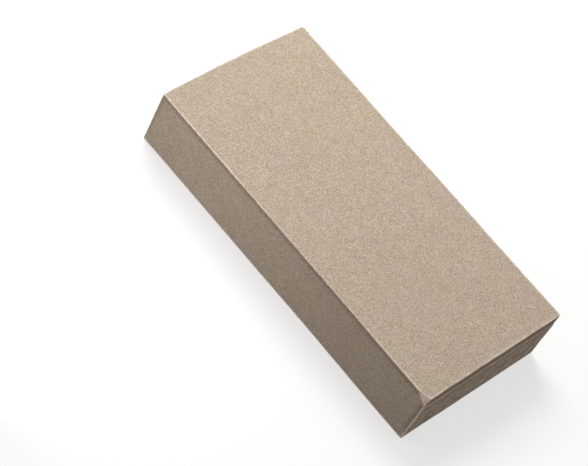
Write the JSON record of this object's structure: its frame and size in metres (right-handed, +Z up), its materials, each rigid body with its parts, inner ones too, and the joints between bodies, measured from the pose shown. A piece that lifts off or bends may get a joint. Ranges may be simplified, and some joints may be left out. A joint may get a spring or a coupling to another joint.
{
  "type": "acid proof brick",
  "caption": "Flat rectangular fired stoneware brick with a shallow press step across its end and a chipped corner, for acid-resistant floors and tank linings.",
  "frame": {"origin": "middle of the large bed face that the brick lies on", "axes": "+X along the length towards the end with the press step, +Y across the width, +Z up through the thickness"},
  "size_m": [0.23, 0.113, 0.04],
  "materials": {
    "stoneware": "unglazed, matt, dry-pressed and fired, sandy beige"
  },
  "bodies": {
    "root": {"brick": "stoneware"}
  },
  "joints": []
}
